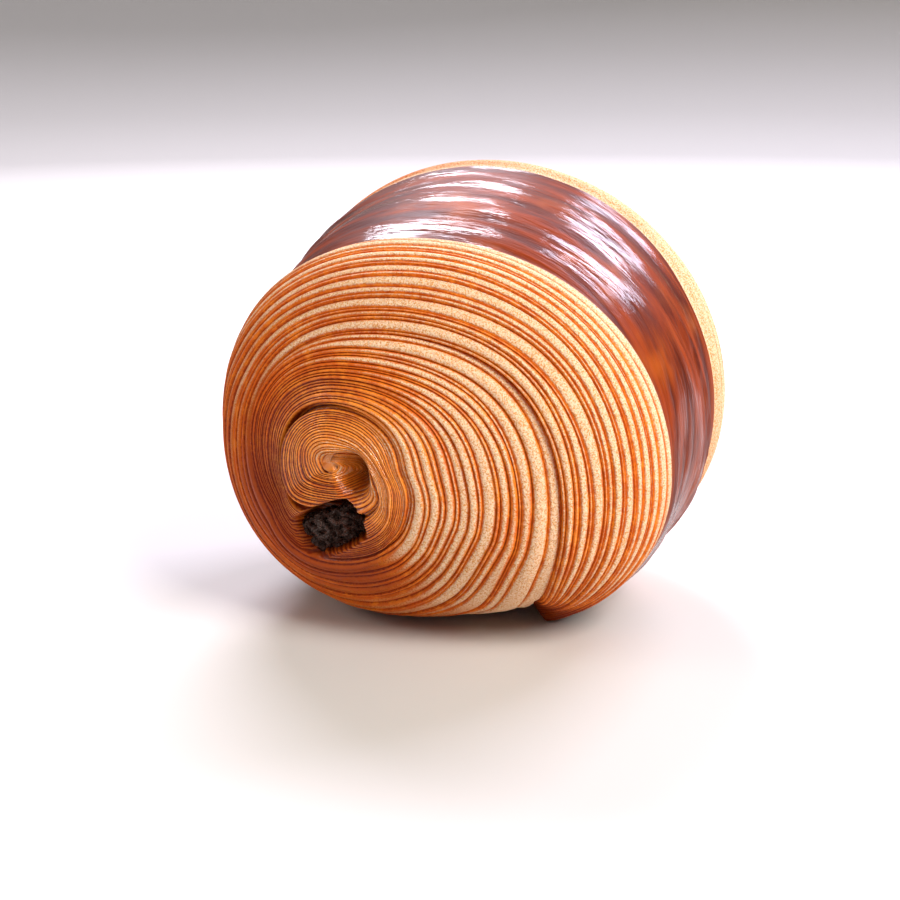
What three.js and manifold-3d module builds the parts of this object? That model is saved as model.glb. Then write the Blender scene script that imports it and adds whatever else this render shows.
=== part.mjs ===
// A pain au chocolat: a rolled sheet of laminated dough, baked as one piece, around a chocolate baton.
// Millimetres. +Z is up, the roll's axis is Y, and the near end of the roll faces -Y.
import * as THREE from "three";
import { mergeVertices } from "three/addons/utils/BufferGeometryUtils.js";
import Module from "manifold-3d";

const wasm = await Module();
wasm.setup();

// ---- Driving sizes -------------------------------------------------------------------------------

const HEIGHT = 60; // of the baked roll, from the surface it rests on to its crown
const MIDDLE_Y = -3; // where the glazed band is centred along the roll
const BELOW_MIDDLE = 1.04; // the lower half of a section is this much deeper, and the base cuts it off

// The glazed band ends at two rims. Each rim is a rounded section: two half ellipses of a given
// roundness (2 is an ellipse, more is squarer) about a middle height. It leans by sideLean and topLean.
const NEAR_RIM = {
  side: -1,
  width: 1.073 * HEIGHT,
  centreX: 0.0495 * HEIGHT,
  top: 0.865 * HEIGHT,
  middle: 0.402 * HEIGHT,
  roundness: 2.14,
  setback: 0.189 * HEIGHT,
  sideLean: -0.013 * HEIGHT,
  topLean: 0.053 * HEIGHT,
  domePower: 2.28,
};
const FAR_RIM = {
  side: 1,
  width: 1.146 * HEIGHT,
  centreX: -0.0155 * HEIGHT,
  top: 0.996 * HEIGHT,
  middle: 0.453 * HEIGHT,
  roundness: 2.03,
  setback: 0.156 * HEIGHT,
  sideLean: 0.025 * HEIGHT,
  topLean: 0.013 * HEIGHT,
  domePower: 1.75,
};
const BELLY_ANGLE = THREE.MathUtils.degToRad(228); // the lower left of both rims is fuller there
const BELLY_WIDTH = THREE.MathUtils.degToRad(28);
const BELLY_FULLNESS = 1;
const BAND_CROWN = 0.023; // the band swells by this share of its size half way between the rims

// Each end of the roll is a full dome that runs from its rim to the tip of the spiral.
const NEAR_TIP = new THREE.Vector3(-0.0315 * HEIGHT, -0.55 * HEIGHT, 0.418 * HEIGHT);
const FAR_TIP = new THREE.Vector3(0.0505 * HEIGHT, 0.55 * HEIGHT, 0.418 * HEIGHT);
const DOME_ROUND_POWER = 2.11;

// The dough sheet ends under the right side, where its end stands proud as a lip beside a notch.
const TAIL_ANGLE = THREE.MathUtils.degToRad(293.5);
const TAIL_LIP = 1.4;
const TAIL_LIP_FADE = THREE.MathUtils.degToRad(38);
const TAIL_NOTCH = 2.8;
const TAIL_NOTCH_FADE = THREE.MathUtils.degToRad(45);
const TAIL_STEP = THREE.MathUtils.degToRad(1.5);

// The hollow beside the innermost curl.
const HOLLOW_RADII = new THREE.Vector3(2.1, 4.6, 3.4);
const HOLLOW_CENTRE = new THREE.Vector3(0.4, -32.6, 25);

// The chocolate baton lies in a tunnel through the roll, below the spiral's tip.
const BATON_WIDTH = 10.4;
const BATON_THICKNESS = 6;
const BATON_CORNER = 2.2;
const BATON_TILT = THREE.MathUtils.degToRad(27);
const BATON_X = -4.5;
const BATON_Z = 16.2;
const BATON_START_Y = -30.4;
const BATON_END_Y = 27.4;
const TUNNEL_GAP = 0.3;

// Mesh fineness.
const COLUMNS = 72;
const DOME_RINGS = 16;
const BAND_RINGS = 6;
const CORNER_SEGMENTS = 5;

const DOUGH_COLOUR = "#b5611f";
const CHOCOLATE_COLOUR = "#26120b";

// ---- The outside of the roll ---------------------------------------------------------------------

function tailOffset(phi) {
  const past = THREE.MathUtils.euclideanModulo(phi - TAIL_ANGLE, 2 * Math.PI);
  const before = 2 * Math.PI - past;
  if (past < Math.PI) {
    return TAIL_LIP * Math.max(0, 1 - past / TAIL_LIP_FADE) ** 2;
  }
  return -TAIL_NOTCH * Math.cos((Math.PI / 2) * Math.min(1, before / TAIL_NOTCH_FADE)) ** 2;
}

function bellyOffset(phi) {
  return BELLY_FULLNESS * Math.exp(-(((phi % (2 * Math.PI)) - BELLY_ANGLE) ** 2) / BELLY_WIDTH ** 2);
}

function rimPoint(rim, phi) {
  const cosine = Math.cos(phi);
  const sine = Math.sin(phi);
  const power = rim.roundness;
  const reach = (Math.abs(cosine) ** power + Math.abs(sine) ** power) ** (-1 / power);
  const halfHeight = sine > 0 ? rim.top - rim.middle : rim.middle * BELOW_MIDDLE;
  const back = rim.setback + rim.sideLean * cosine + rim.topLean * sine;
  const proud = tailOffset(phi) + bellyOffset(phi);
  return new THREE.Vector3(
    rim.centreX + ((rim.width / 2) * reach + proud) * cosine,
    MIDDLE_Y + rim.side * back,
    rim.middle + (halfHeight * reach + proud) * sine,
  );
}

function domePoint(rim, tip, depth, phi) {
  const edge = rimPoint(rim, phi);
  const spread = (1 - depth ** rim.domePower) ** (1 / DOME_ROUND_POWER);
  return new THREE.Vector3(
    THREE.MathUtils.lerp(tip.x, edge.x, spread),
    THREE.MathUtils.lerp(edge.y, tip.y, depth),
    THREE.MathUtils.lerp(tip.z, edge.z, spread),
  );
}

function bandPoint(share, phi) {
  const point = rimPoint(NEAR_RIM, phi).lerp(rimPoint(FAR_RIM, phi), share);
  const swell = 1 + BAND_CROWN * 4 * share * (1 - share);
  const middle = THREE.MathUtils.lerp(NEAR_RIM.middle, FAR_RIM.middle, share);
  point.x *= swell;
  point.z = middle + (point.z - middle) * swell;
  return point;
}

// The columns run round the roll from the tail's lip to the tail's notch.
function columnAngles() {
  const sweep = 2 * Math.PI - TAIL_STEP;
  return Array.from({ length: COLUMNS }, (_, i) => TAIL_ANGLE + (sweep * i) / (COLUMNS - 1));
}

// The rings run from the near tip to the far tip, closer together towards each tip.
function ringDepth(i) {
  return 1 - (1 - i / DOME_RINGS) ** 1.8;
}

function rollRings() {
  const angles = columnAngles();
  const rings = [];
  for (let i = DOME_RINGS - 1; i > 0; i -= 1) {
    rings.push(angles.map((phi) => domePoint(NEAR_RIM, NEAR_TIP, ringDepth(i), phi)));
  }
  for (let i = 0; i <= BAND_RINGS; i += 1) {
    rings.push(angles.map((phi) => bandPoint(i / BAND_RINGS, phi)));
  }
  for (let i = 1; i < DOME_RINGS; i += 1) {
    rings.push(angles.map((phi) => domePoint(FAR_RIM, FAR_TIP, ringDepth(i), phi)));
  }
  return rings;
}

// A closed skin over rings of points, with a fan to a tip at each end.
function closedSkin(rings, firstTip, lastTip) {
  const count = rings[0].length;
  const points = [firstTip, ...rings.flat(), lastTip];
  const last = points.length - 1;
  const at = (ring, column) => 1 + ring * count + (column % count);
  const indices = [];
  for (let column = 0; column < count; column += 1) {
    indices.push(0, at(0, column), at(0, column + 1));
    indices.push(last, at(rings.length - 1, column + 1), at(rings.length - 1, column));
    for (let ring = 0; ring < rings.length - 1; ring += 1) {
      indices.push(at(ring, column), at(ring + 1, column), at(ring + 1, column + 1));
      indices.push(at(ring, column), at(ring + 1, column + 1), at(ring, column + 1));
    }
  }
  const geometry = new THREE.BufferGeometry().setFromPoints(points);
  geometry.setIndex(indices);
  return geometry;
}

// ---- Solids --------------------------------------------------------------------------------------

function toSolid(geometry) {
  const bare = geometry.clone();
  bare.deleteAttribute("normal");
  bare.deleteAttribute("uv");
  const merged = mergeVertices(bare, 1e-5);
  const mesh = new wasm.Mesh({
    numProp: 3,
    vertProperties: new Float32Array(merged.attributes.position.array),
    triVerts: new Uint32Array(merged.index.array),
  });
  return new wasm.Manifold(mesh);
}

function toGeometry(solid) {
  const mesh = solid.getMesh();
  const geometry = new THREE.BufferGeometry();
  geometry.setAttribute("position", new THREE.BufferAttribute(mesh.vertProperties, 3));
  geometry.setIndex(new THREE.BufferAttribute(mesh.triVerts, 1));
  geometry.computeVertexNormals();
  return geometry;
}

function batonGeometry(gap, startY, endY) {
  const halfWidth = BATON_WIDTH / 2 + gap;
  const halfThickness = BATON_THICKNESS / 2 + gap;
  const corner = BATON_CORNER + gap;
  const outline = new THREE.Shape();
  outline.absarc(halfWidth - corner, halfThickness - corner, corner, 0, Math.PI / 2);
  outline.absarc(corner - halfWidth, halfThickness - corner, corner, Math.PI / 2, Math.PI);
  outline.absarc(corner - halfWidth, corner - halfThickness, corner, Math.PI, 1.5 * Math.PI);
  outline.absarc(halfWidth - corner, corner - halfThickness, corner, 1.5 * Math.PI, 2 * Math.PI);
  const length = endY - startY;
  const options = { depth: length, bevelEnabled: false, curveSegments: CORNER_SEGMENTS };
  const geometry = new THREE.ExtrudeGeometry(outline, options);
  geometry.rotateX(Math.PI / 2);
  geometry.rotateY(-BATON_TILT);
  geometry.translate(BATON_X, endY, BATON_Z);
  return geometry;
}

function hollowGeometry() {
  const geometry = new THREE.SphereGeometry(1, 16, 12);
  geometry.scale(HOLLOW_RADII.x, HOLLOW_RADII.y, HOLLOW_RADII.z);
  geometry.translate(HOLLOW_CENTRE.x, HOLLOW_CENTRE.y, HOLLOW_CENTRE.z);
  return geometry;
}

// ---- Pieces --------------------------------------------------------------------------------------

function makeDough() {
  const roll = toSolid(closedSkin(rollRings(), NEAR_TIP, FAR_TIP)).trimByPlane([0, 0, 1], 0);
  const tunnel = toSolid(batonGeometry(TUNNEL_GAP, -HEIGHT, HEIGHT));
  const hollow = toSolid(hollowGeometry());
  const geometry = toGeometry(roll.subtract(tunnel).subtract(hollow));
  const material = new THREE.MeshStandardMaterial({ color: DOUGH_COLOUR, roughness: 0.45, metalness: 0 });
  const mesh = new THREE.Mesh(geometry, material);
  mesh.name = "dough";
  return mesh;
}

function makeBaton() {
  const geometry = batonGeometry(0, BATON_START_Y, BATON_END_Y);
  const material = new THREE.MeshStandardMaterial({ color: CHOCOLATE_COLOUR, roughness: 0.6, metalness: 0 });
  const mesh = new THREE.Mesh(geometry, material);
  mesh.name = "chocolate_baton";
  return mesh;
}

const painAuChocolat = new THREE.Group();
painAuChocolat.add(makeDough(), makeBaton());

export default painAuChocolat;
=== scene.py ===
"""A pain au chocolat: a rolled, glazed and baked sheet of laminated dough around a chocolate baton."""

import math

import bpy
import numpy as np
from mathutils import Matrix, Vector, noise


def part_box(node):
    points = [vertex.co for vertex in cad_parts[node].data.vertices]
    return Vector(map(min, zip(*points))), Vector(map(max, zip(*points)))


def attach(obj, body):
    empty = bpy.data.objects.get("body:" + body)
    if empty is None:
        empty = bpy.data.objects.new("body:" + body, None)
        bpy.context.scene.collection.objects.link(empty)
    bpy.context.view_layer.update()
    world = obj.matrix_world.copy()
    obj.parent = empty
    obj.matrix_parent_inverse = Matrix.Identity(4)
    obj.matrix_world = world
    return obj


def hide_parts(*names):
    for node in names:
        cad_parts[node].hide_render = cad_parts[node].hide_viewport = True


bl_info = {
    "name": "Pain au chocolat",
    "version": (1, 0, 0),
    "blender": (4, 5, 0),
    "location": "View3D > Sidebar > Pain au chocolat",
    "description": "Models a rolled laminated pastry with its chocolate baton, and the studio it stands in",
    "category": "Add Mesh",
}

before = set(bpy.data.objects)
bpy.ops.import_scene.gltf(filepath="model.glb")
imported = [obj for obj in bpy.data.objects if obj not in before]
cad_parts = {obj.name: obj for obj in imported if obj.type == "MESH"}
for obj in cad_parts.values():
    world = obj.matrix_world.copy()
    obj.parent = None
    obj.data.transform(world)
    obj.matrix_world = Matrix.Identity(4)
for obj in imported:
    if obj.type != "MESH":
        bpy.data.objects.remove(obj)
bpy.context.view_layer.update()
DOUGH_LOW, DOUGH_HIGH = (Vector(corner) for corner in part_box("dough"))
BATON_LOW, BATON_HIGH = (Vector(corner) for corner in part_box("chocolate_baton"))
MM = 0.001
TURN = 2 * math.pi

# ---- The outside of the roll, in metres, from its height -------------------------------------------

CROWN_SHARE = 0.996
HEIGHT = (DOUGH_HIGH.z - DOUGH_LOW.z) / CROWN_SHARE
MIDDLE_Y = -0.05 * HEIGHT
BELOW_MIDDLE = 1.04

NEAR_RIM = {
    "side": -1,
    "width": 1.073 * HEIGHT,
    "centre_x": 0.0495 * HEIGHT,
    "top": 0.865 * HEIGHT,
    "middle": 0.402 * HEIGHT,
    "roundness": 2.14,
    "setback": 0.189 * HEIGHT,
    "side_lean": -0.013 * HEIGHT,
    "top_lean": 0.053 * HEIGHT,
    "dome_power": 2.28,
}
FAR_RIM = {
    "side": 1,
    "width": 1.146 * HEIGHT,
    "centre_x": -0.0155 * HEIGHT,
    "top": 0.996 * HEIGHT,
    "middle": 0.453 * HEIGHT,
    "roundness": 2.03,
    "setback": 0.156 * HEIGHT,
    "side_lean": 0.025 * HEIGHT,
    "top_lean": 0.013 * HEIGHT,
    "dome_power": 1.75,
}
BAND_CROWN = 0.023
BELLY_ANGLE = math.radians(228)
BELLY_WIDTH = math.radians(28)
BELLY_FULLNESS = 1.0 * MM
NEAR_TIP = np.array((-0.0315 * HEIGHT, -0.55 * HEIGHT, 0.418 * HEIGHT))
FAR_TIP = np.array((0.0505 * HEIGHT, 0.55 * HEIGHT, 0.418 * HEIGHT))
DOME_ROUND_POWER = 2.11

# A dome's depth and radius in heights of the roll, for measuring the way over it.
DOME_DEPTH = 0.34
DOME_RADIUS = 0.52

# The sheet ends under the right side, in a lip beside a notch.
TAIL_ANGLE = math.radians(293.5)
TAIL_LIP = 1.4 * MM
TAIL_LIP_FADE = 38 / 360
TAIL_NOTCH = 2.8 * MM
TAIL_NOTCH_FADE = 45 / 360

# The baton's section, tilted about the roll's axis. It lies a little to the left of its CAD solid and lower.
BATON_TILT = math.radians(27)
BATON_WIDTH = 10.4 * MM
BATON_THICKNESS = 6 * MM
BATON_SHIFT = Vector((-0.6, 0, -0.4)) * MM
BATON_CENTRE = (BATON_LOW + BATON_HIGH) / 2 + BATON_SHIFT

# How the sheet's outer face runs in towards the tip: the number of turns made, and the share of the way
# from the rim to the tip. The first turn's outer face is the rim itself.
SHEET_PATH = (
    (1.0, 0.0),
    (1.02, 0.11),
    (1.05, 0.25),
    (1.09, 0.355),
    (1.14, 0.4),
    (1.2, 0.415),
    (1.3, 0.44),
    (1.38, 0.495),
    (1.45, 0.517),
    (1.53, 0.53),
    (1.7, 0.575),
    (1.84, 0.605),
    (1.94, 0.65),
    (2.07, 0.76),
    (2.2, 0.812),
    (2.31, 0.8),
    (2.42, 0.785),
    (2.56, 0.765),
    (2.7, 0.75),
    (2.8, 0.735),
    (2.88, 0.745),
    (2.98, 0.81),
    (3.12, 0.87),
    (3.27, 0.925),
    (3.4, 0.955),
    (3.7, 0.972),
    (4.4, 0.988),
)

# Thickness of each layer of the sheet, from its glazed face inwards, as shares of the mean.
LAYER_WIDTHS = (1.7, 2.0, 1.4, 0.4, 1.2, 1.1, 0.4, 1.3, 0.5, 1.2, 0.9, 0.4, 1.3, 0.5, 1.0, 0.5, 1.1, 0.4)

# How the layers bunch within the sheet: the turns made, and the power that their shares are raised to.
# Above 1 they bunch towards its outer face, and below 1 towards its inner face.
BUNCHING = (
    (0.0, 1.0),
    (0.6, 1.0),
    (0.75, 1.6),
    (0.85, 1.9),
    (0.9, 1.5),
    (0.95, 1.1),
    (1.0, 0.8),
    (1.05, 0.9),
    (1.1, 1.0),
)

# Where the rows of vertices lie across a layer, and how high they stand. They crowd the thin dark gap
# between two layers, which the first row runs along.
ROW_PLACES = (0.0, 0.13, 0.36, 0.64, 0.87)
ROW_HEIGHTS = (-1.0, 0.35, 0.85, 1.0, 0.6)

# ---- Curves and surfaces --------------------------------------------------------------------------


def ease(value, low, high):
    """Rises smoothly from 0 at low to 1 at high."""
    share = np.clip((value - low) / (high - low), 0, 1)
    return share * share * (3 - 2 * share)


def lobe(value, middle, spread):
    """1 at the middle, fading smoothly to 0 on both sides of it."""
    return np.exp(-(((value - middle) / spread) ** 2))


def mix(first, second, share):
    return first + (second - first) * share


def waves(values, seed, count, slowest, fastest):
    """A smooth seeded sum of sine waves over values, mostly within -1 and 1."""
    source = np.random.default_rng(seed)
    total = np.zeros_like(values, dtype=float)
    for _ in range(count):
        speed = source.uniform(slowest, fastest)
        total += np.sin(TURN * (values * speed + source.uniform(0, 1)))
    return total / math.sqrt(count)


def rim_point(rim, phi):
    """A point on a rim of the glazed band."""
    cosine = np.cos(phi)
    sine = np.sin(phi)
    power = rim["roundness"]
    reach = (np.abs(cosine) ** power + np.abs(sine) ** power) ** (-1 / power)
    half_height = np.where(sine > 0, rim["top"] - rim["middle"], rim["middle"] * BELOW_MIDDLE)
    back = rim["setback"] + rim["side_lean"] * cosine + rim["top_lean"] * sine
    belly = BELLY_FULLNESS * np.exp(-((phi % TURN - BELLY_ANGLE) ** 2) / BELLY_WIDTH**2)
    x = rim["centre_x"] + (rim["width"] / 2 * reach + belly) * cosine
    y = MIDDLE_Y + rim["side"] * back
    z = rim["middle"] + (half_height * reach + belly) * sine
    return np.stack((x, y, z), axis=-1)


def dome_point(rim, tip, depth, phi):
    """A point on the dome of an end, at a depth of 0 at the rim to 1 at the tip."""
    edge = rim_point(rim, phi)
    spread = (1 - np.clip(depth, 0, 1) ** rim["dome_power"]) ** (1 / DOME_ROUND_POWER)
    x = mix(tip[0], edge[..., 0], spread)
    y = mix(edge[..., 1], tip[1], depth)
    z = mix(tip[2], edge[..., 2], spread)
    return np.stack((x, y, z), axis=-1)


def band_point(share, phi):
    """A point on the glazed band, at a share of the way from the near rim to the far rim."""
    point = mix(rim_point(NEAR_RIM, phi), rim_point(FAR_RIM, phi), np.asarray(share)[..., None])
    swell = 1 + BAND_CROWN * 4 * share * (1 - share)
    middle = mix(NEAR_RIM["middle"], FAR_RIM["middle"], share)
    point[..., 0] *= swell
    point[..., 2] = middle + (point[..., 2] - middle) * swell
    return point


def dome_height(rim, tip, x, z):
    """The dome's Y over a place in the roll's section."""
    edge = rim_point(rim, np.linspace(0, TURN, 721))
    bearing = np.unwrap(np.arctan2(edge[:, 2] - tip[2], edge[:, 0] - tip[0]))
    angle = bearing[0] + (np.arctan2(z - tip[2], x - tip[0]) - bearing[0]) % TURN
    reach = np.interp(angle, bearing, np.hypot(edge[:, 2] - tip[2], edge[:, 0] - tip[0]))
    spread = np.clip(np.hypot(x - tip[0], z - tip[2]) / reach, 0, 1)
    depth = (1 - spread**DOME_ROUND_POWER) ** (1 / rim["dome_power"])
    return mix(np.interp(angle, bearing, edge[:, 1]), tip[1], depth)


def depth_from_way(rim, way):
    """Turns the share of the way over a dome, rim to tip, into its depth."""
    depth = 1 - np.linspace(1, 0, 2001) ** 2
    spread = (1 - depth ** rim["dome_power"]) ** (1 / DOME_ROUND_POWER)
    steps = np.hypot(np.diff(depth) * DOME_DEPTH, np.diff(spread) * DOME_RADIUS)
    length = np.concatenate(((0,), np.cumsum(steps)))
    return np.interp(way, length / length[-1], depth)


def sheet_way(turns, shift):
    """Where the sheet's outer face lies after so many turns, as a share of the way over the dome.

    The path is smoothed, and the shift moves its middle turns towards the tip.
    """
    path_turns, path_way = np.array(SHEET_PATH).T
    fine = np.linspace(1, path_turns[-1], 1401)
    level = np.interp(fine, path_turns, path_way)
    reach = 24
    padded = np.concatenate((2 * level[0] - level[reach:0:-1], level, np.full(reach, level[-1])))
    kernel = np.hanning(2 * reach + 1)
    smooth = np.convolve(padded, kernel / kernel.sum(), mode="valid")
    smooth = smooth + shift * ease(fine, 1.1, 2.0) * (1 - ease(fine, 3.0, 4.0))
    return np.where(turns < 1 - 1e-9, 0.0, np.interp(turns, fine, smooth))


def normals_over(surface, way, phi):
    """Unit normals of a surface given as a function of way and phi, on either side of it."""
    step = 1e-3
    along = surface(way + step, phi) - surface(way - step, phi)
    around = surface(way, phi + step) - surface(way, phi - step)
    normal = np.cross(along, around)
    length = np.linalg.norm(normal, axis=-1, keepdims=True)
    return normal / np.maximum(length, 1e-12)


# ---- The spiral end of the roll -------------------------------------------------------------------

SHEET_ROWS = len(LAYER_WIDTHS) * len(ROW_PLACES)

# The outermost layer has no dark gap outside it, so its pale middle starts at the rim.
RIM_LAYER = 0.4

# The way from the rim to the tip, in heights of the roll.
WAY_LENGTH = 0.75

# The least that a layer stands out, how much one may stand above its neighbours, and the slow rise and
# fall along the sheet.
RIDGE_LEAST = 0.04 * MM
RIDGE_UNEVEN = 0.1 * MM
SHEET_SWELL = 0.4 * MM

# The deep seam left of the curl: the turns made where it is deepest, and its spread in turns.
CREVICE_TURNS = 2.7
CREVICE_SPREAD = 0.17

# The curl leans most inside the first radius, and not at all outside the second.
CURL_RADII = (1 * MM, 17 * MM)

# The height over which the underside rounds off where it is pressed flat.
BASE_SOFTNESS = 0.5 * MM


def layer_number(row):
    """The layer that a row lies in, plus the row's place across it."""
    layer, place = np.divmod(row, len(ROW_PLACES))
    return layer + np.array(ROW_PLACES)[place]


def layer_shares(seed, turns):
    """The running share of the sheet's thickness up to each row of vertices, for each column."""
    layers = len(LAYER_WIDTHS)
    widths = np.empty((len(turns), layers))
    evenness = mix(1, 0.3, ease(turns, 1.15, 1.7))
    for layer, base in enumerate(LAYER_WIDTHS):
        drift = waves(turns, seed * 100 + layer, 4, 0.25, 2.6)
        widths[:, layer] = base ** evenness * np.exp(0.26 * drift)
    # One layer near the sheet's inner face swells into a broad pale stripe at the upper right.
    widths[:, -2] *= 1 + 0.9 * lobe(turns, 0.34, 0.15)
    widths /= widths.sum(axis=1, keepdims=True)
    starts = np.cumsum(widths, axis=1) - widths
    shares = starts[:, :, None] + widths[:, :, None] * np.array(ROW_PLACES)
    power = np.interp(turns, *np.array(BUNCHING).T)
    shares = shares ** power[:, None, None]
    return shares.reshape(len(turns), layers * len(ROW_PLACES)), widths


def off_axis(point, tip):
    """Distance from the line that runs through the tip along the roll."""
    return np.linalg.norm((point - tip)[:, (0, 2)], axis=-1)


def spiral_end(settings, rim, tip, seed, shift):
    """One end of the roll as a strip that winds in to the tip.

    Returns the place of each vertex, column by column, and the numbers that shape it and its finish.
    """
    columns = settings.columns
    rows = SHEET_ROWS
    last = int(round(settings.turns * columns))
    turns = np.arange(last + columns + 1) / columns
    phi = TAIL_ANGLE + TURN * turns
    outer = sheet_way(turns, shift)
    main = turns[: last + 1]
    thickness = outer[columns : last + columns + 1] - outer[: last + 1]
    shares, widths = layer_shares(seed, main)
    way = outer[: last + 1, None] + thickness[:, None] * shares
    layer_width = np.repeat(widths, len(ROW_PLACES), axis=1) * thickness[:, None]

    # The inner face of the last turn has no next turn to meet, so it gets columns of its own.
    rest = np.arange(last + 1, last + columns + 1)
    all_way = np.concatenate((way.ravel(), outer[rest]))
    all_phi = np.concatenate((np.repeat(phi[: last + 1], rows), phi[rest]))
    all_width = np.concatenate((layer_width.ravel(), np.full(columns, layer_width[-1, -1])))

    def surface(where, angle):
        return dome_point(rim, tip, depth_from_way(rim, where), angle)

    point = surface(all_way, all_phi)
    normal = normals_over(surface, np.clip(all_way, 2e-3, 1 - 2e-3), all_phi)
    inside = tip * (1, 0.4, 1)
    outward = (normal * (point - inside)).sum(-1)
    normal *= np.where(outward < 0, -1, 1)[:, None]
    return {
        "side": rim["side"],
        "tip": tip,
        "point": point,
        "normal": normal,
        "way": all_way,
        "phi": all_phi,
        "turns": np.concatenate((np.repeat(main, rows), turns[rest])),
        "row": np.concatenate((np.tile(np.arange(rows), last + 1), np.zeros(columns, dtype=int))),
        "width": all_width * HEIGHT * WAY_LENGTH,
        "radius": off_axis(point, tip),
        "last": last,
    }


def tail_offset(turns, share):
    """How far the sheet stands out near its end: a lip on its outer face, a notch before it."""
    lip = TAIL_LIP * np.clip(1 - turns / TAIL_LIP_FADE, 0, 1) ** 2 * (1 - share)
    here = np.cos(math.pi / 2 * np.clip(np.abs(turns - 1) / TAIL_NOTCH_FADE, 0, 1)) ** 2
    there = np.cos(math.pi / 2 * np.clip(turns / TAIL_NOTCH_FADE, 0, 1)) ** 2
    return lip - TAIL_NOTCH * mix(here, there, share)


def baton_frame(point):
    """Places in the baton's section, across its width and across its thickness."""
    x = point[:, 0] - BATON_CENTRE.x
    z = point[:, 2] - BATON_CENTRE.z
    across = x * math.cos(BATON_TILT) + z * math.sin(BATON_TILT)
    through = -x * math.sin(BATON_TILT) + z * math.cos(BATON_TILT)
    return across, through


def layer_relief(settings, end, seed):
    """How far each vertex stands out of the smooth dome: rounded layers and the seams between turns.

    It also starts the end's shade, which is dark in the crevice left of the curl.
    """
    layer, place = np.divmod(end["row"], len(ROW_PLACES))
    source = np.random.default_rng(seed + 7)
    proud = source.uniform(-1, 1, len(LAYER_WIDTHS))[layer]
    crest = np.array(ROW_HEIGHTS)[place]
    size = np.clip(end["width"] * settings.ridge_share, RIDGE_LEAST, settings.ridge_height)
    relief = size * crest + RIDGE_UNEVEN * proud * (crest > 0)

    share = end["row"] / SHEET_ROWS
    seam = np.minimum(share, 1 - share)
    on_seam = (end["turns"] > 1.02) | (share > 0.5)
    crevice = lobe(end["turns"] + np.where(share > 0.5, 1, 0), CREVICE_TURNS, CREVICE_SPREAD)
    # Painted shade darkens the crevice left of the curl.
    end["shade"] = 0.9 * crevice * on_seam * (1 - ease(seam, 0.0, 0.12))
    depth = settings.seam_depth + settings.crevice_depth * crevice
    relief -= np.where(on_seam, depth * (1 - ease(seam, 0.0, 0.1)), 0)
    relief += SHEET_SWELL * waves(end["turns"] + share * 0.2, seed + 3, 3, 0.4, 2.0)
    return relief * (1 - 0.7 * (1 - ease(end["way"], 0.0, 0.012)))


def part_round_baton(settings, end):
    """Slides the layers over the dome: they part round the baton's end, and the curl leans to the left."""
    across, through = baton_frame(end["point"])
    half = (BATON_WIDTH / 2, BATON_THICKNESS / 2)
    far_off = np.maximum(np.hypot(across / half[0], through / half[1]), 1e-6)
    reach = settings.parting_reach
    grow = np.where(far_off < reach, (far_off / reach) ** (settings.parting_power - 1), 1)
    from_baton = (end["point"] - (BATON_CENTRE.x, 0, BATON_CENTRE.z)) * (1, 0, 1)
    slide = from_baton * np.minimum(grow - 1, 4)[:, None]
    slide[:, 0] -= settings.curl_shift * (1 - ease(end["radius"], *CURL_RADII))
    slide -= end["normal"] * (slide * end["normal"]).sum(-1, keepdims=True)
    return end["point"] + slide


def toast_and_painted_shade(end):
    """How brown each vertex has baked, with painted shade and painted light mixed in. Angles are in degrees,
    anticlockwise from the right.
    """
    degrees = np.degrees(end["phi"]) % 360
    way = end["way"]
    # Partly real browning, partly painted shade: darker to the left and below, away from the key light.
    left_and_below = np.cos(np.radians(degrees - 218))
    over_curl = lobe(degrees, 98, 58) * ease(way, 0.56, 0.7) * (1 - ease(way, 0.84, 0.93))
    at_rim = 1 - ease(way, 0.03, 0.06)
    under_curl = lobe(degrees, 238, 50) * ease(way, 0.4, 0.6)
    right_of_curl = lobe((degrees + 150) % 360 - 150, 0, 45) * ease(way, 0.55, 0.65)
    # Painted light: the layers beside the tail are made paler, as where light falls on them.
    beside_tail = lobe(degrees, 300, 24)
    round_tip = 1 - ease(end["radius"], 1.5 * MM, 5.5 * MM)
    sheet_end = 1 - ease(end["turns"], 0.015, 0.055)
    toast_and_shade = 0.46 + 0.44 * left_and_below
    for amount, place in (
        (0.62, over_curl),
        (0.3, at_rim),
        (0.6, under_curl),
        (-0.42, right_of_curl),
        (-0.25, beside_tail),
        (-0.5, round_tip),
        (0.7, sheet_end),
    ):
        toast_and_shade += amount * place
    return np.clip(toast_and_shade, 0, 1.2)


def sink_depth(settings, end):
    """How deep the hollow beside the innermost curl goes, and the pocket that the baton's end sits in.

    It also notes the hollow and adds to the end's shade, which the finish reads.
    """
    tip = end["tip"]
    x = (end["point"][:, 0] - tip[0] - settings.hollow_x) / settings.hollow_width
    z = (end["point"][:, 2] - tip[2] - settings.hollow_z) / settings.hollow_height
    end["hollow"] = 1 - ease(np.hypot(x, z), 0.05, 1.0)
    # Painted shade on the hollow's right side.
    end["shade"] += 1.1 * end["hollow"] * ease(x, -0.45, 0.45)
    across, through = baton_frame(end["point"])
    across = across / (BATON_WIDTH / 2)
    through = through / (BATON_THICKNESS / 2)
    box = np.maximum(np.abs(across), np.abs(through))
    oval = np.hypot(across, through)
    pocket = 1 - ease(mix(box, oval, 0.5), 0.92, 1.22)
    # Painted shade in a ring round the pocket that the baton's end sits in.
    end["shade"] += 0.7 * pocket
    return np.maximum(settings.hollow_depth * end["hollow"], settings.pocket_depth * pocket)


def flatten_base(point):
    """Presses everything that would hang below the base onto it."""
    low = point[:, 2] / BASE_SOFTNESS
    pressed = BASE_SOFTNESS * np.log1p(np.exp(np.clip(low, -30, 20)))
    point[:, 2] = np.where(low > 20, point[:, 2], pressed)
    return point


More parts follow.
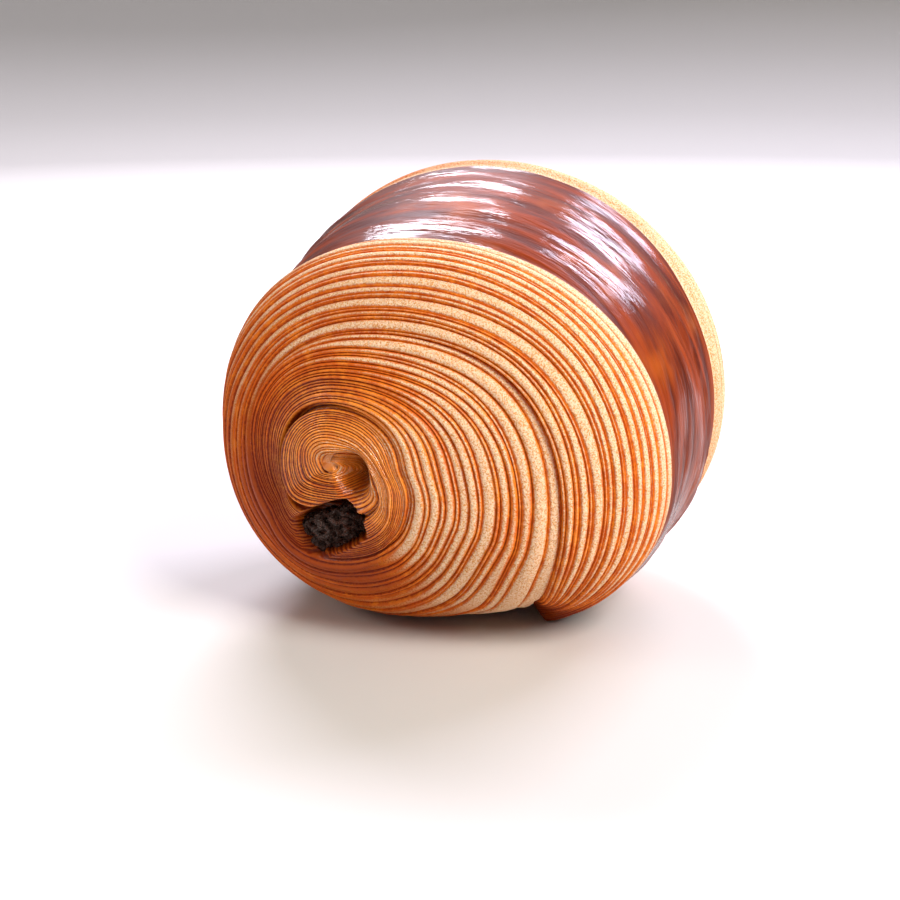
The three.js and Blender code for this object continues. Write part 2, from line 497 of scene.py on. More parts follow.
def finish_end(settings, rim, tip, seed, shift):
    """One end of the roll with its bake, its parting round the baton, its tail and its relief."""
    end = spiral_end(settings, rim, tip, seed, shift)
    end["toast_and_shade"] = toast_and_painted_shade(end)
    end["point"] = part_round_baton(settings, end)
    spread = off_axis(end["point"], tip)
    edge = off_axis(rim_point(rim, end["phi"]), tip)
    radial = (end["point"] - tip) * (1, 0, 1)
    radial /= np.maximum(np.linalg.norm(radial, axis=-1, keepdims=True), 1e-9)
    stand = tail_offset(end["turns"], end["row"] / SHEET_ROWS) * np.clip(spread / edge, 0, 1)
    point = end["point"] + radial * stand[:, None]
    relief = layer_relief(settings, end, seed) - sink_depth(settings, end)
    end["point"] = flatten_base(point + end["normal"] * relief[:, None])
    return end


# ---- The dough as one closed mesh -----------------------------------------------------------------

# What the finish reads from the mesh, at the corners of its faces and at its vertices.
CORNER_VALUES = ("layer", "turns", "cut")
POINT_VALUES = ("width", "glaze", "inner", "toast_and_shade", "shade", "hollow")

# The inner turns are honeyed and brightened, partly their own honey tone and partly painted light, all over
# inside the first radius, and not at all outside the second.
INNER_RADII = (6 * MM, 15 * MM)

# Heights of the lumps in the glazed band, broad and small, and of the line that they stand out from.
BROAD_LUMP = 0.35 * MM
SMALL_LUMP = 0.12 * MM
LUMP_AXIS_Z = 0.45 * HEIGHT


class MeshParts:
    """Gathers the dough's points and faces stretch by stretch, with the values that its finish reads."""

    def __init__(self):
        self.count = 0
        self.points = []
        self.faces = []
        self.point_values = {name: [] for name in POINT_VALUES}
        self.corner_values = {name: [] for name in CORNER_VALUES}

    def add_points(self, points, values):
        """Adds points, with 0 for a value that isn't given, and returns the number of the first."""
        first = self.count
        self.count += len(points)
        self.points.append(points)
        for name, stretches in self.point_values.items():
            stretches.append(np.broadcast_to(values.get(name, 0.0), len(points)))
        return first

    def add_faces(self, faces, values):
        """Adds faces of four corners each, with 0 for a value that isn't given."""
        self.faces.append(faces)
        for name, stretches in self.corner_values.items():
            stretches.append(np.broadcast_to(values.get(name, 0.0), faces.shape))


def strip_vertex(settings, end, column, row):
    """The index, within one end, of a vertex of the strip."""
    rows = SHEET_ROWS
    wraps = row >= rows
    column = np.where(wraps, column + settings.columns, column)
    row = np.where(wraps, row - rows, row)
    last = end["last"]
    main = column * rows + row
    rest = (last + 1) * rows + (column - last - 1)
    return np.where(column <= last, main, rest)


def strip_faces(settings, end):
    """The quads of the winding strip, with the layer and turn numbers at their corners."""
    column, row = np.meshgrid(np.arange(end["last"]), np.arange(SHEET_ROWS), indexing="ij")
    column = column.ravel()
    row = row.ravel()
    corners = ((column, row), (column + 1, row), (column + 1, row + 1), (column, row + 1))
    faces = np.stack([strip_vertex(settings, end, c, r) for c, r in corners], axis=-1)
    layer = np.stack([layer_number(r) for _, r in corners], axis=-1)
    turns = np.stack([c / settings.columns for c, _ in corners], axis=-1)
    return faces, np.where(turns <= 1, np.maximum(layer, RIM_LAYER), layer), turns


def edge_loop(settings, end, start):
    """The vertices round an edge of the strip: one turn along its outer face, then back up its end."""
    ring = strip_vertex(settings, end, np.arange(start, start + settings.columns + 1), 0)
    side = strip_vertex(settings, end, start, np.arange(SHEET_ROWS - 1, 0, -1))
    return np.concatenate((ring, side))


def add_end(settings, parts, end):
    """Adds one end's strip, and a fan that closes the small hole at its tip.

    Returns the number of the end's first point.
    """
    quads, layer, turns = strip_faces(settings, end)
    loop = edge_loop(settings, end, end["last"])
    hub = np.full(len(loop), len(end["point"]))
    fan = np.stack((loop, np.roll(loop, -1), hub, hub), axis=-1)
    # The far end faces the other way, so its faces are wound the other way.
    if end["side"] == FAR_RIM["side"]:
        quads = quads[:, ::-1]
        layer = layer[:, ::-1]
        turns = turns[:, ::-1]
        fan = fan[:, (1, 0, 2, 3)]
    values = {
        "width": end["width"] / MM,
        "inner": 1 - ease(end["radius"], *INNER_RADII),
        "toast_and_shade": end["toast_and_shade"],
        "shade": end["shade"],
        "hollow": end["hollow"],
    }
    values = {name: np.append(numbers, numbers[loop[0]]) for name, numbers in values.items()}
    centre = end["point"][loop].mean(axis=0)
    first = parts.add_points(np.vstack((end["point"], centre)), values)
    parts.add_faces(first + quads, {"layer": layer, "turns": turns})
    parts.add_faces(first + fan, {"layer": 0.5, "turns": settings.turns})
    return first


def band_ring(settings, share, phi, around, on_skin):
    """One ring of the glazed band, at a share of the way across it, and how far its lumps stand out."""
    lump = BROAD_LUMP * waves(around + 0.35 * share, settings.seed + 31, 5, 1, 6)
    lump += SMALL_LUMP * waves(around * 3.0 + 1.7 * share, settings.seed + 32, 6, 2, 9)
    lump *= 4 * share * (1 - share) * on_skin
    return band_point(np.full_like(phi, share), phi), lump


def add_band(settings, parts, near, far, near_first, far_first):
    """Adds the glazed band, which joins the two rims column by column."""
    columns = settings.columns
    steps = settings.band_rows
    near_loop = edge_loop(settings, near, 0)
    far_loop = edge_loop(settings, far, 0)
    phi = near["phi"][near_loop]
    near_gap = near["point"][near_loop] - band_point(np.zeros_like(phi), phi)
    far_gap = far["point"][far_loop] - band_point(np.ones_like(phi), phi)
    around = np.concatenate((np.arange(columns + 1) / columns, np.zeros(SHEET_ROWS - 1)))
    row = np.concatenate((np.zeros(columns, dtype=int), np.arange(SHEET_ROWS, 0, -1)))
    place = np.arange(len(phi))

    # The last ring is partly bare, so that the glaze ends unevenly beside the far rim.
    bare = np.clip(0.28 + 0.22 * waves(around, settings.seed + 41, 5, 1, 9), 0, 0.7)
    rings = [near_first + near_loop]
    for step in range(1, steps):
        share = step / steps
        ring, lump = band_ring(settings, share, phi, around, place <= columns)
        point = ring + mix(near_gap, far_gap, share)
        outward = (point - (0, 0, LUMP_AXIS_Z)) * (1, 0, 1)
        outward /= np.linalg.norm(outward, axis=-1, keepdims=True)
        glaze = 1 - bare if step == steps - 1 else 1.0
        point = flatten_base(point + outward * lump[:, None])
        rings.append(place + parts.add_points(point, {"width": 1.0, "glaze": glaze}))
    rings.append(far_first + far_loop)

    def at_corners(values):
        """Values round the rings, at the corners of the faces between each ring and the next."""
        after = np.roll(values, -1)
        return np.tile(np.stack((values, values, after, after), axis=-1), (steps, 1))

    rings = np.array(rings)
    after = np.roll(rings, -1, axis=1)
    faces = np.stack((rings[:-1], rings[1:], after[1:], after[:-1]), axis=-1).reshape(-1, 4)
    cut = np.tile(place >= columns, steps)[:, None]
    layer = np.where(cut, at_corners(layer_number(row)), RIM_LAYER)
    parts.add_faces(faces, {"layer": layer, "turns": at_corners(around), "cut": cut})


def build_dough(settings):
    """The whole roll: two spiral ends and the glazed band between them."""
    parts = MeshParts()
    near = finish_end(settings, NEAR_RIM, NEAR_TIP, settings.seed, 0.0)
    far = finish_end(settings, FAR_RIM, FAR_TIP, settings.seed + 11, 0.02)
    near_first = add_end(settings, parts, near)
    far_first = add_end(settings, parts, far)
    add_band(settings, parts, near, far, near_first, far_first)
    return parts


def mesh_from_parts(name, parts):
    """A mesh of quads and triangles with its values, where a triangle repeats its last corner."""
    points = np.concatenate(parts.points)
    faces = np.concatenate(parts.faces)
    triangle = faces[:, 2] == faces[:, 3]
    sizes = np.where(triangle, 3, 4)
    starts = np.cumsum(sizes) - sizes
    keep = np.ones(faces.shape, dtype=bool)
    keep[triangle, 3] = False
    loops = faces[keep]
    mesh = bpy.data.meshes.new(name)
    mesh.vertices.add(len(points))
    mesh.vertices.foreach_set("co", points.astype(np.float32).ravel())
    mesh.loops.add(len(loops))
    mesh.loops.foreach_set("vertex_index", loops.astype(np.int32))
    mesh.polygons.add(len(faces))
    mesh.polygons.foreach_set("loop_start", starts.astype(np.int32))
    mesh.update(calc_edges=True)
    mesh.validate()
    mesh.shade_smooth()
    for key, stretches in parts.corner_values.items():
        add_attribute(mesh, key, "CORNER", np.concatenate(stretches)[keep])
    for key, stretches in parts.point_values.items():
        add_attribute(mesh, key, "POINT", np.concatenate(stretches))
    return mesh


def add_attribute(mesh, name, domain, values):
    attribute = mesh.attributes.new(name, "FLOAT", domain)
    attribute.data.foreach_set("value", values.astype(np.float32))


# ---- Materials ------------------------------------------------------------------------------------

# Roughness of a layer's edge on the outer turns.
LAYER_ROUGHNESS = 0.55


def opaque(colour):
    """A colour with its alpha. A socket stays as it is."""
    if isinstance(colour, bpy.types.NodeSocket):
        return colour
    return (*colour, 1.0)


class Nodes:
    """Adds and links shader nodes in a few words. An input is a socket or a plain value."""

    def __init__(self, material):
        self.tree = material.node_tree
        self.tree.nodes.clear()

    def add(self, kind, inputs=None, **settings):
        node = self.tree.nodes.new(kind)
        for key, value in settings.items():
            setattr(node, key, value)
        for key, value in (inputs or {}).items():
            socket = node.inputs[key]
            if isinstance(value, bpy.types.NodeSocket):
                self.tree.links.new(value, socket)
            else:
                socket.default_value = value
        return node

    def math(self, operation, first, second=0.0, clamp=False):
        node = self.add("ShaderNodeMath", {0: first, 1: second}, operation=operation, use_clamp=clamp)
        return node.outputs[0]

    def add_scaled(self, base, value, factor):
        """The base plus the value times the factor."""
        return self.math("ADD", base, self.math("MULTIPLY", value, factor))

    def place(self):
        return self.add("ShaderNodeTexCoord").outputs["Object"]

    def attribute(self, name):
        return self.add("ShaderNodeAttribute", attribute_name=name).outputs["Fac"]

    def noise(self, vector, scale, detail=2.0, roughness=0.5):
        inputs = {"Vector": vector, "Scale": scale, "Detail": detail, "Roughness": roughness}
        return self.add("ShaderNodeTexNoise", inputs).outputs["Fac"]

    def between(self, value, low, high):
        """Rises smoothly from 0 to 1 while the value goes from low to high."""
        inputs = {"Value": value, "From Min": low, "From Max": high}
        node = self.add("ShaderNodeMapRange", inputs, interpolation_type="SMOOTHSTEP")
        return node.outputs["Result"]

    def blend(self, share, first, second):
        """Mixes two colours, each a socket or red, green and blue."""
        inputs = {0: share, 6: opaque(first), 7: opaque(second)}
        return self.add("ShaderNodeMix", inputs, data_type="RGBA").outputs[2]

    def combine(self, x, y, z):
        return self.add("ShaderNodeCombineXYZ", {"X": x, "Y": y, "Z": z}).outputs[0]

    def scaled(self, vector, factors):
        inputs = {0: vector, 1: factors}
        return self.add("ShaderNodeVectorMath", inputs, operation="MULTIPLY").outputs[0]

    def drawn_round(self, vector, scale_round, scale_along, detail, roughness=0.5):
        """Noise that is drawn out round the roll, whose axis is Y."""
        drawn = self.scaled(vector, (scale_round, scale_along, scale_round))
        return self.noise(drawn, 1.0, detail, roughness)

    def bump(self, height, distance, strength):
        inputs = {"Height": height, "Distance": distance, "Strength": strength}
        return self.add("ShaderNodeBump", inputs).outputs[0]

    def surface(self, inputs):
        """Ends the material in a Principled shader."""
        shader = self.add("ShaderNodeBsdfPrincipled", inputs)
        self.add("ShaderNodeOutputMaterial", {"Surface": shader.outputs[0]})


def new_material(name):
    material = bpy.data.materials.new(name)
    material.use_nodes = True
    return material


def layer_bake_and_shade(nodes, place, values):
    """How brown a place has baked, with the painted shade to the left and below taken from the vertices.
    Each layer also drifts along its own length.
    """
    layer_id = nodes.math("FLOOR", values["layer"])
    along = nodes.scaled(nodes.combine(values["turns"], layer_id, 0.0), (2.2, 3.7, 1.0))
    own_bake = nodes.math("SUBTRACT", nodes.noise(along, 1.0, 2), 0.5)
    slow_bake = nodes.math("SUBTRACT", nodes.noise(place, 110, 3), 0.5)
    freedom = nodes.math("SUBTRACT", 1.3, nodes.math("MULTIPLY", values["toast_and_shade"], 0.85))
    bake_and_shade = nodes.add_scaled(values["toast_and_shade"], own_bake, freedom)
    bake_and_shade = nodes.add_scaled(bake_and_shade, slow_bake, 0.5)
    thin = nodes.math("SUBTRACT", 1.0, nodes.between(values["width"], 0.16, 0.5))
    thin = nodes.math("MULTIPLY", thin, nodes.between(own_bake, -0.12, 0.08))
    return nodes.add_scaled(nodes.math("MAXIMUM", 0.0, bake_and_shade), thin, 0.45)


def edge_distance(nodes, place, values):
    """Distance from the nearest edge of the layer, in millimetres, roughened by the crumb."""
    within = nodes.math("FRACT", values["layer"])
    to_edge = nodes.math("MINIMUM", within, nodes.math("SUBTRACT", 1.0, within))
    ragged = nodes.math("SUBTRACT", nodes.noise(place, 2300, 3, 0.6), 0.5)
    distance = nodes.math("MULTIPLY", to_edge, nodes.math("MAXIMUM", values["width"], 0.62))
    return nodes.add_scaled(distance, ragged, 0.3)


def crumb_colour(nodes, settings, place, bake_and_shade):
    """The speckled middle of a layer, which browns and at last burns as the bake and the painted shade
    deepen.
    """
    speckle = nodes.noise(place, 4600, 2, 0.7)
    pale = nodes.blend(nodes.between(speckle, 0.36, 0.56), settings.crumb_shade, settings.crumb_colour)
    brown = nodes.blend(nodes.between(speckle, 0.3, 0.62), settings.toast_deep, settings.toast_colour)
    crumb = nodes.blend(nodes.between(bake_and_shade, 0.22, 0.92), pale, brown)
    return nodes.blend(nodes.between(bake_and_shade, 0.78, 1.1), crumb, settings.burnt_colour)


def edge_colour(nodes, settings, place, bake_and_shade, inner):
    """The amber edge of a layer, scorched where it has baked most and the painted shade is deepest, and
    honeyed on the inner turns, partly as painted light.
    """
    ember = nodes.between(nodes.noise(place, 520, 3, 0.6), 0.3, 0.7)
    ember = nodes.math("SUBTRACT", ember, nodes.math("MULTIPLY", bake_and_shade, 0.6))
    # Painted light: the inner turns are brightened towards amber and honey and scorched less, to lift the
    # curl.
    ember = nodes.math("ADD", ember, nodes.math("MULTIPLY", inner, 0.55), True)
    amber = nodes.blend(ember, settings.amber_deep, settings.amber_colour)
    open_crust = nodes.add_scaled(0.9, inner, -0.7)
    scorched = nodes.math("MULTIPLY", nodes.between(bake_and_shade, 0.68, 1.15), open_crust)
    amber = nodes.blend(scorched, amber, settings.toast_deep)
    honey_and_painted_light = nodes.math("MULTIPLY", inner, nodes.add_scaled(0.25, ember, 0.5), True)
    return nodes.blend(honey_and_painted_light, amber, settings.honey_and_painted_light_colour)


def layer_colour(nodes, settings, place, values, bake_and_shade):
    """The colour of the cut layers, and how much of it is the middle of a layer."""
    inner = values["inner"]
    distance = edge_distance(nodes, place, values)
    crumb_share = nodes.math("DIVIDE", distance, nodes.add_scaled(0.26, bake_and_shade, 0.56))
    crumb_share = nodes.between(crumb_share, 0.35, 1.3)
    edge_share = nodes.math("DIVIDE", distance, nodes.add_scaled(0.07, bake_and_shade, 0.1))
    edge_share = nodes.between(edge_share, 0.2, 1.35)
    darkness = nodes.math("MAXIMUM", bake_and_shade, nodes.math("MULTIPLY", inner, 0.5))
    line = nodes.blend(darkness, settings.line_colour, settings.line_deep)
    colour = nodes.blend(edge_share, line, edge_colour(nodes, settings, place, bake_and_shade, inner))
    colour = nodes.blend(crumb_share, colour, crumb_colour(nodes, settings, place, bake_and_shade))
    smear = nodes.blend(nodes.noise(place, 700, 3), settings.toast_deep, settings.amber_colour)
    colour = nodes.blend(nodes.math("MULTIPLY", values["hollow"], 0.85), colour, smear)
    # Painted shade: darkens the crevice, the hollow's right side and the ring round the baton's pocket.
    shade = nodes.math("MULTIPLY", values["shade"], 0.95, True)
    return nodes.blend(shade, colour, settings.painted_shade_colour), crumb_share


def skin_colour(nodes, settings, place, streak):
    """The glazed skin, dark between its streaks and warmer in blotches."""
    skin = nodes.blend(nodes.between(streak, 0.35, 0.7), settings.glaze_dark, settings.glaze_colour)
    blotch = nodes.between(nodes.noise(place, 90, 3), 0.5, 0.8)
    return nodes.blend(blotch, skin, settings.glaze_warm)


def dough_roughness(nodes, inner, crumb_share, streak, glazed):
    """Roughest in the crumb, smoother on the inner turns and in the glazed skin."""
    roughness = nodes.add_scaled(LAYER_ROUGHNESS, inner, -0.2)
    roughness = nodes.add_scaled(roughness, crumb_share, 0.12)
    smoother = nodes.math("SUBTRACT", nodes.add_scaled(0.26, streak, 0.3), LAYER_ROUGHNESS)
    return nodes.add_scaled(roughness, glazed, smoother)


def dough_normal(nodes, place, crumb_share, streak, glazed):
    """Fine crumb in the layers, and folds and streaks in the glazed skin."""
    grain = nodes.math("MULTIPLY", nodes.noise(place, 2800, 3, 0.65), crumb_share)
    grain = nodes.add_scaled(grain, nodes.noise(place, 700, 3, 0.6), 0.6)
    folds = nodes.math("MULTIPLY", nodes.drawn_round(place, 26, 170, 2), 1.6)
    layer_bump = nodes.bump(grain, 0.3 * MM, 0.9)
    skin_bump = nodes.bump(nodes.add_scaled(folds, streak, 0.5), 1.3 * MM, 0.55)
    inputs = {0: glazed, 4: layer_bump, 5: skin_bump}
    return nodes.add("ShaderNodeMix", inputs, data_type="VECTOR").outputs[1]


def wet_share(nodes, place, bake_and_shade, inner, glazed):
    """How wet a place shines: the skin in drawn-out patches, the crust a little, the inner curl fully."""
    patches = nodes.between(nodes.drawn_round(place, 42, 240, 4, 0.55), 0.43, 0.55)
    skin = nodes.math("MULTIPLY", glazed, nodes.add_scaled(0.03, patches, 0.64))
    crust = nodes.math("MULTIPLY", nodes.between(bake_and_shade, 0.65, 1.1), 0.2)
    return nodes.math("MAXIMUM", skin, nodes.math("MAXIMUM", crust, inner))


def dough_material(settings):
    """Baked laminated dough: pale crumbly layers with amber edges, and a dark glazed band."""
    material = new_material("baked_dough")
    nodes = Nodes(material)
    place = nodes.place()
    values = {name: nodes.attribute(name) for name in (*CORNER_VALUES, *POINT_VALUES)}
    inner = values["inner"]
    uncut = nodes.math("SUBTRACT", 1.0, values["cut"])
    glazed = nodes.between(nodes.math("MULTIPLY", values["glaze"], uncut, True), 0.35, 0.65)
    streak = nodes.drawn_round(place, 55, 430, 4, 0.6)
    bake_and_shade = layer_bake_and_shade(nodes, place, values)
    layers, crumb_share = layer_colour(nodes, settings, place, values, bake_and_shade)
    skin = skin_colour(nodes, settings, place, streak)
    normal = dough_normal(nodes, place, crumb_share, streak, glazed)
    nodes.surface(
        {
            "Base Color": nodes.blend(glazed, layers, skin),
            "Roughness": dough_roughness(nodes, inner, crumb_share, streak, glazed),
            "Coat Weight": wet_share(nodes, place, bake_and_shade, inner, glazed),
            "Coat Roughness": 0.09,
            "Coat IOR": 1.45,
            "Coat Normal": normal,
            "Specular IOR Level": 0.08,
            "Normal": normal,
            "Subsurface Weight": 0.12,
            "Subsurface Radius": (1.5 * MM, 0.7 * MM, 0.3 * MM),
            "Subsurface Scale": 1.0,
        }
    )
    return material


def chocolate_material(settings):
    """Baked dark chocolate, rough and crumbly, with small glossy facets."""
    material = new_material("dark_chocolate")
    nodes = Nodes(material)
    place = nodes.place()
    grain = nodes.noise(place, 1300, 4, 0.7)
    facets = nodes.add("ShaderNodeTexVoronoi", {"Vector": place, "Scale": 2400}).outputs["Distance"]
    crumbs = nodes.between(grain, 0.45, 0.75)
    nodes.surface(
        {
            "Base Color": nodes.blend(crumbs, settings.dark_colour, settings.crumb_colour),
            "Roughness": nodes.add_scaled(0.07, nodes.between(facets, 0.1, 0.5), 0.3),
            "Normal": nodes.bump(nodes.add_scaled(grain, facets, 0.6), 1.0 * MM, 1.0),
            "Specular Tint": (1.0, 0.72, 0.62, 1.0),
        }
    )
    return material


def floor_material(settings):
    """Plain matt paper."""
    material = new_material("studio_floor")
    Nodes(material).surface({"Base Color": opaque(settings.floor_colour), "Roughness": 0.6})
    return material


# ---- Settings -------------------------------------------------------------------------------------


def colour_property(name, description, default):
    return bpy.props.FloatVectorProperty(
        name=name, description=description, default=default, subtype="COLOR", size=3, min=0, max=1
    )


def length_property(name, description, default):
    return bpy.props.FloatProperty(
        name=name, description=description, default=default, unit="LENGTH", subtype="DISTANCE", precision=5
    )


def number_property(name, description, default):
    return bpy.props.FloatProperty(name=name, description=description, default=default)


def count_property(name, description, default):
    return bpy.props.IntProperty(name=name, description=description, default=default, min=1)


def angle_property(name, description, degrees):
    return bpy.props.FloatProperty(
        name=name, description=description, default=math.radians(degrees), subtype="ANGLE"
    )


class DoughSettings(bpy.types.PropertyGroup):
    seed: count_property("Seed", "Chooses how the layers and the glaze vary", 5)
    columns: count_property("Columns", "Columns of faces in one turn", 144)
    band_rows: count_property("Band rows", "Rows of faces across the band", 24)
    turns: number_property("Turns", "Turns of the rolled sheet", 3.4)
    ridge_height: length_property("Ridge height", "The most that a layer stands out", 0.26 * MM)
    ridge_share: number_property("Ridge share", "A layer's height as a share of its width", 0.32)
    seam_depth: length_property("Seam depth", "Depth of the seam between two turns", 0.5 * MM)
    hollow_depth: length_property("Hollow depth", "Depth of the hollow beside the inner curl", 4.8 * MM)
    curl_shift: length_property("Curl shift", "How far the inner curl leans to the left", 1.8 * MM)
    hollow_x: length_property("Hollow X", "The hollow's place beside the tip", 1.4 * MM)
    hollow_z: length_property("Hollow Z", "The hollow's place above the tip", -1.2 * MM)
    hollow_width: length_property("Hollow width", "Half the hollow's width", 3.0 * MM)
    hollow_height: length_property("Hollow height", "Half the hollow's height", 4.2 * MM)
    crevice_depth: length_property("Crevice depth", "Extra depth of the seam left of the curl", 2.6 * MM)
    parting_reach: number_property("Parting reach", "How many half widths of the baton it reaches", 2.3)
    parting_power: number_property("Parting power", "Below 1 opens the layers round the baton", 0.55)
    pocket_depth: length_property("Pocket depth", "Depth of the pocket round the baton's end", 3.5 * MM)
    crumb_colour: colour_property("Crumb", "Pale middle of a wide layer", (0.91, 0.64, 0.42))
    crumb_shade: colour_property("Crumb shade", "Speckles in the crumb", (0.72, 0.30, 0.08))
    amber_colour: colour_property("Amber", "Toasted edge of a layer", (0.90, 0.25, 0.018))
    amber_deep: colour_property("Deep amber", "Darker toasted edge", (0.62, 0.105, 0.005))
    # Partly the inner ridges' own honey tone, partly painted light that brightens the curl.
    honey_and_painted_light_colour: colour_property("Honey", "Ridges of the inner turns", (1.0, 0.32, 0.035))
    line_colour: colour_property("Line", "Dark line between layers", (0.48, 0.075, 0.006))
    toast_colour: colour_property("Toast", "Browned crumb", (0.66, 0.17, 0.012))
    burnt_colour: colour_property("Burnt", "Darkest crumb", (0.24, 0.035, 0.003))
    line_deep: colour_property("Deep line", "Line between dark layers", (0.19, 0.018, 0.001))
    toast_deep: colour_property("Deep toast", "Speckles in the browned crumb", (0.38, 0.055, 0.002))
    # Painted shade, laid into the crevice, the hollow's right side and round the baton's pocket.
    painted_shade_colour: colour_property("Shade", "Dark baked crevices and the pocket's edge", (0.07, 0.009, 0.001))
    glaze_colour: colour_property("Glaze", "Glazed skin of the band", (0.26, 0.034, 0.002))
    glaze_dark: colour_property("Dark glaze", "Darkest glazed skin", (0.085, 0.009, 0.001))
    glaze_warm: colour_property("Warm glaze", "Lightest glazed skin", (0.38, 0.075, 0.005))


class ChocolateSettings(bpy.types.PropertyGroup):
    recess: length_property("Recess", "How far the baton's ends lie below the dough", 0.9 * MM)
    edge_radius: length_property("Edge radius", "Roundness of the baton's edges", 1.6 * MM)
    crumb_size: length_property("Crumb size", "Size of the faces that carry the crumble", 0.3 * MM)
    lump_depth: length_property("Lump depth", "Depth of the broken lumps at the ends", 2.0 * MM)
    grain_depth: length_property("Grain depth", "Depth of the fine grain at the ends", 0.8 * MM)
    narrowing: number_property("Narrowing", "How much thinner the raised side is", 0.3)
    dark_colour: colour_property("Dark", "Chocolate in the cracks", (0.014, 0.004, 0.002))
    crumb_colour: colour_property("Crumb", "Crumbly chocolate", (0.085, 0.018, 0.007))


class StudioSettings(bpy.types.PropertyGroup):
    floor_colour: colour_property("Floor", "Colour of the floor", (0.62, 0.605, 0.58))
    camera_azimuth: angle_property("Azimuth", "Camera's turn about Z from -Y", 27.3)
    camera_elevation: angle_property("Elevation", "Camera's height angle", 12.7)
    camera_roll: angle_property("Roll", "Camera's roll", -0.4)
    camera_distance: length_property("Distance", "From the camera to the roll's middle", 4.0 * HEIGHT)


# ---- Pieces ---------------------------------------------------------------------------------------

# Sizes of the chocolate's lumps and grains, and the length at each end that is broken up most.
LUMP_SIZE = 1.15 * MM
GRAIN_SIZE = 1.1 * MM
BROKEN_LENGTH = 4 * MM


def link_object(name, data):
    item = bpy.data.objects.new(name, data)
    bpy.context.scene.collection.objects.link(item)
    return item


class BAKERY_OT_dough(bpy.types.Operator):
    """Models the rolled sheet of dough, from its winding layers to its glazed band"""

    bl_idname = "bakery.dough"
    bl_label = "Dough"

    def execute(self, context):
        settings = context.scene.bakery_dough
        mesh = mesh_from_parts("dough_baked", build_dough(settings))
        mesh.materials.append(dough_material(settings))
        dough = link_object("dough_baked", mesh)
        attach(dough, "root")
        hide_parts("dough")
        return {"FINISHED"}


class BAKERY_OT_chocolate(bpy.types.Operator):
    """Models the chocolate baton with its crumbled ends"""

    bl_idname = "bakery.chocolate"
    bl_label = "Chocolate baton"

    def execute(self, context):
        settings = context.scene.bakery_chocolate
        bpy.ops.object.select_all(action="DESELECT")
        bpy.ops.mesh.primitive_cube_add(size=1, location=BATON_CENTRE, rotation=(0, -BATON_TILT, 0))
        baton = context.object
        baton.name = "chocolate_baked"
        baton.scale = (BATON_WIDTH, BATON_HIGH.y - BATON_LOW.y, BATON_THICKNESS)
        bpy.ops.object.transform_apply(location=True, rotation=True, scale=True)
        bevel = baton.modifiers.new("Edges", "BEVEL")
        bevel.width = settings.edge_radius
        bevel.segments = 4
        remesh = baton.modifiers.new("Crumb", "REMESH")
        remesh.mode = "VOXEL"
        remesh.voxel_size = settings.crumb_size
        for modifier in ("Edges", "Crumb"):
            bpy.ops.object.modifier_apply(modifier=modifier)
        crumble(settings, baton)
        bpy.ops.object.shade_smooth()
        baton.data.materials.append(chocolate_material(settings))
        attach(baton, "root")
        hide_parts("chocolate_baton")
        return {"FINISHED"}


def crumble(settings, baton):
    """Sinks the baton's ends below the dough and breaks up its surface, most of all at the ends.

    It also thins the baton towards its raised side.
    """
    count = len(baton.data.vertices)
    points = np.empty(count * 3, dtype=np.float32)
    normals = np.empty(count * 3, dtype=np.float32)
    baton.data.vertices.foreach_get("co", points)
    baton.data.vertices.foreach_get("normal", normals)
    points = points.reshape(-1, 3).astype(float)
    normals = normals.reshape(-1, 3)
    across, through = baton_frame(points)
    to_end = (BATON_HIGH.y - BATON_LOW.y) / 2 - np.abs(points[:, 1] - BATON_CENTRE.y)
    broken = 1 - ease(to_end, 0.0, BROKEN_LENGTH)
    for rim, tip, end_y in ((NEAR_RIM, NEAR_TIP, BATON_LOW.y), (FAR_RIM, FAR_TIP, BATON_HIGH.y)):
        surface = dome_height(rim, tip, points[:, 0], points[:, 2]) - rim["side"] * settings.recess
        near_end = ease(rim["side"] * points[:, 1] / abs(end_y), 0.5, 1.0)
        points[:, 1] += (surface - end_y) * near_end
    lumps = np.array([noise.voronoi(Vector(point) / LUMP_SIZE)[0][0] for point in points])
    grains = np.array([noise.fractal(Vector(point) / GRAIN_SIZE, 0.8, 2.1, 4) for point in points])
    depth = (0.25 + 0.75 * broken) * (settings.lump_depth * (lumps - 0.45) + settings.grain_depth * grains)
    points -= normals * np.maximum(depth, -0.1 * MM)[:, None]
    narrow = settings.narrowing * (across / BATON_WIDTH + 0.5) * through
    points[:, 0] += narrow * math.sin(BATON_TILT)
    points[:, 2] -= narrow * math.cos(BATON_TILT)
    baton.data.vertices.foreach_set("co", points.astype(np.float32).ravel())
    baton.data.update()


# ---- Studio ---------------------------------------------------------------------------------------

# The floor's radius in metres, how far each step of its rim rises and spreads at most, and the steps.
FLOOR_RADIUS = 0.7
WALL_CURVE = 0.13
WALL_STEPS = 12

CAMERA_LENS = 68.3
CAMERA_SHIFT = (-0.0163, -0.0735)
CAMERA_TARGET = Vector((0.33 * MM, MIDDLE_Y, HEIGHT / 2))


class BAKERY_OT_studio(bpy.types.Operator):
    """Sets the floor, the soft lights and the camera"""

    bl_idname = "bakery.studio"
    bl_label = "Studio"

    def execute(self, context):
        settings = context.scene.bakery_studio
        make_floor(settings)
        make_lights()
        make_camera(settings)
        context.scene.view_settings.view_transform = "Standard"
        return {"FINISHED"}


